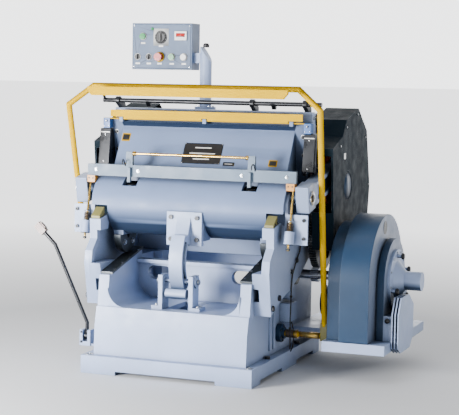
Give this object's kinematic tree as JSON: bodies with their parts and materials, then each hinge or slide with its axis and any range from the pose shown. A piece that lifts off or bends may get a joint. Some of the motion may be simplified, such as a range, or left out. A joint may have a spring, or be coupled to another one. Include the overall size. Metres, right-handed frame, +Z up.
{
  "type": "die cutting machine",
  "caption": "Industrial creasing and die cutting platen press: cast base and cheeks, rocking platen pulled by side draw bars and geared crank, flywheel housing, guard frame and control box.",
  "frame": {"origin": "floor level at the centre of the rectangle of anchor bolts in the base flange", "axes": "+X towards the flywheel, to the operator's right; +Y away from the operator; +Z up"},
  "size_m": [2.54, 1.621, 2.266],
  "materials": {
    "body_paint": "light blue-grey machine enamel, satin",
    "bar_paint": "steel grey-blue enamel, worn",
    "cover_paint": "slate textured enamel",
    "guard_paint": "steel-blue enamel",
    "yellow_paint": "safety yellow enamel",
    "orange_paint": "orange enamel",
    "red_paint": "red gear enamel",
    "olive_paint": "olive enamel",
    "dark_iron": "oiled dark iron",
    "bright_steel": "ground steel",
    "black_steel": "black oxide",
    "brass": "polished brass",
    "rubber": "matt rubber",
    "black_plastic": "moulded",
    "blue_plastic": "moulded",
    "grip_plastic": "moulded, pinkish grey",
    "green_plastic": "moulded",
    "red_plastic": "moulded",
    "white_plastic": "moulded",
    "spring_steel": "dark spring wire"
  },
  "bodies": {
    "frame": {"base": "body_paint", "rocker_rails": "dark_iron", "bed_frame": "body_paint", "cheek_left": "body_paint", "cheek_right": "body_paint", "cheek_pads": "olive_paint", "guide_brackets": "body_paint", "die_chase": "dark_iron", "shaft_brackets": "black_steel", "gear_cover_right": "cover_paint", "gear_cover_left": "cover_paint", "flywheel_guard": "guard_paint", "drive_cover": "body_paint", "drive_plinth": "body_paint", "motor": "guard_paint", "drive_belts": "rubber", "control_post": "body_paint", "control_box": "body_paint", "guard_bearings": "guard_paint", "guard_springs": "spring_steel", "side_fittings": "body_paint", "cable_run": "rubber", "frame_bolts": "black_steel", "bearings": "dark_iron", "idler_axle": "bright_steel"},
    "platen": {"platen": "body_paint", "cutting_plate": "bright_steel", "rocker_sectors": "dark_iron", "guide_arm": "body_paint", "arm_bolts": "black_steel", "platen_side_covers": "black_steel", "side_switches": "blue_plastic", "trunnion_caps": "bright_steel", "buffer_brackets": "body_paint", "buffer_cylinders": "body_paint", "buffer_springs": "spring_steel"},
    "safety_strip": {"safety_strip": "yellow_paint"},
    "trip_bar": {"trip_bar": "bar_paint", "trip_rods": "brass", "trip_blocks": "orange_paint"},
    "draw_bar_left": {"draw_bar_left": "body_paint"},
    "draw_bar_right": {"draw_bar_right": "body_paint"},
    "crank": {"main_shaft": "bright_steel", "crank_gear": "red_paint", "crank_disc": "dark_iron"},
    "idler": {"idler_gear": "dark_iron"},
    "drive_shaft": {"drive_shaft": "bright_steel"},
    "flywheel": {"flywheel": "dark_iron"},
    "motor_pulley": {"motor_pulley": "bright_steel"},
    "guard": {"guard_frame": "yellow_paint"},
    "hand_lever": {"hand_lever": "black_steel", "lever_grip": "grip_plastic"},
    "chase_shaft": {"chase_shaft": "black_steel"},
    "button_start": {"button_start": "green_plastic"},
    "button_inch": {"button_inch": "green_plastic"},
    "button_light": {"button_light": "white_plastic"},
    "estop": {"estop": "red_plastic"},
    "selector_a": {"selector_a": "black_plastic"},
    "selector_b": {"selector_b": "black_plastic"},
    "timer_knob": {"timer_knob": "black_plastic"}
  },
  "joints": [
    {"name": "platen_rock", "type": "hinge", "parent": "frame", "child": "platen", "pos_m": [0, -0.21, 0.72], "axis": [1, 0, 0], "range_deg": [0, 45]},
    {"name": "strip_tilt", "type": "hinge", "parent": "platen", "child": "safety_strip", "pos_m": [0, -0.072, 1.608], "axis": [1, 0, 0], "range_deg": [-12, 0], "stiffness_Nm_per_rad": 12, "springref_deg": 11.46},
    {"name": "trip_press", "type": "slide", "parent": "platen", "child": "trip_bar", "axis": [0, -0.2227, -0.9749], "range_m": [0, 0.012], "stiffness_N_per_m": 9000, "springref_m": -0.05},
    {"name": "draw_bar_left_turn", "type": "hinge", "parent": "platen", "child": "draw_bar_left", "pos_m": [-0.764, -0.27, 1.15], "axis": [1, 0, 0], "range_deg": [-39, 0]},
    {"name": "draw_bar_right_turn", "type": "hinge", "parent": "platen", "child": "draw_bar_right", "pos_m": [0.764, -0.27, 1.15], "axis": [1, 0, 0], "range_deg": [-39, 0]},
    {"name": "crank_turn", "type": "hinge", "parent": "frame", "child": "crank", "pos_m": [0, 0.55, 1.323], "axis": [1, 0, 0], "range_deg": [0, 180]},
    {"name": "idler_turn", "type": "hinge", "parent": "frame", "child": "idler", "pos_m": [0.69, 0.33753, 0.84294], "axis": [1, 0, 0], "range_deg": [-252, 0]},
    {"name": "drive_shaft_turn", "type": "hinge", "parent": "frame", "child": "drive_shaft", "pos_m": [0.8, 0.23069, 0.60154], "axis": [1, 0, 0], "range_deg": [0, 1225]},
    {"name": "flywheel_turn", "type": "hinge", "parent": "frame", "child": "flywheel", "pos_m": [1.08, 0.23069, 0.60154], "axis": [1, 0, 0], "continuous": true},
    {"name": "motor_turn", "type": "hinge", "parent": "frame", "child": "motor_pulley", "pos_m": [1.08, 0.73, 0.35], "axis": [1, 0, 0], "continuous": true},
    {"name": "guard_tilt", "type": "hinge", "parent": "frame", "child": "guard", "pos_m": [0, -0.03, 0.24], "axis": [1, 0, 0], "range_deg": [-3, 6], "stiffness_Nm_per_rad": 1800},
    {"name": "lever_throw", "type": "hinge", "parent": "frame", "child": "hand_lever", "pos_m": [-0.735, -0.29, 0.16], "axis": [1, 0, 0], "range_deg": [-8, 18]},
    {"name": "chase_release", "type": "hinge", "parent": "frame", "child": "chase_shaft", "pos_m": [0, 0.01, 1.728], "axis": [1, 0, 0], "range_deg": [0, 50]},
    {"name": "button_start_press", "type": "slide", "parent": "frame", "child": "button_start", "axis": [0, 1, 0], "range_m": [0, 0.006], "stiffness_N_per_m": 600, "springref_m": -0.004},
    {"name": "button_inch_press", "type": "slide", "parent": "frame", "child": "button_inch", "axis": [0, 1, 0], "range_m": [0, 0.006], "stiffness_N_per_m": 600, "springref_m": -0.004},
    {"name": "button_light_press", "type": "slide", "parent": "frame", "child": "button_light", "axis": [0, 1, 0], "range_m": [0, 0.006], "stiffness_N_per_m": 600, "springref_m": -0.004},
    {"name": "estop_press", "type": "slide", "parent": "frame", "child": "estop", "axis": [0, 1, 0], "range_m": [0, 0.007]},
    {"name": "selector_a_turn", "type": "hinge", "parent": "frame", "child": "selector_a", "pos_m": [-0.761, 0.53, 2.029], "axis": [0, -1, 0], "range_deg": [-45, 45]},
    {"name": "selector_b_turn", "type": "hinge", "parent": "frame", "child": "selector_b", "pos_m": [-0.675, 0.53, 2.029], "axis": [0, -1, 0], "range_deg": [-45, 45]},
    {"name": "timer_knob_turn", "type": "hinge", "parent": "frame", "child": "timer_knob", "pos_m": [-0.583, 0.53, 2.167], "axis": [0, -1, 0], "range_deg": [-140, 140]}
  ],
  "couplings": [
    {"joint": "draw_bar_left_turn", "follows": "platen_rock", "ratio": -0.865},
    {"joint": "draw_bar_right_turn", "follows": "platen_rock", "ratio": -0.865},
    {"joint": "crank_turn", "follows": "platen_rock", "ratio": 4},
    {"joint": "idler_turn", "follows": "platen_rock", "ratio": -5.589},
    {"joint": "drive_shaft_turn", "follows": "platen_rock", "ratio": 27.2},
    {"joint": "motor_turn", "follows": "flywheel_turn", "ratio": 8.625}
  ]
}
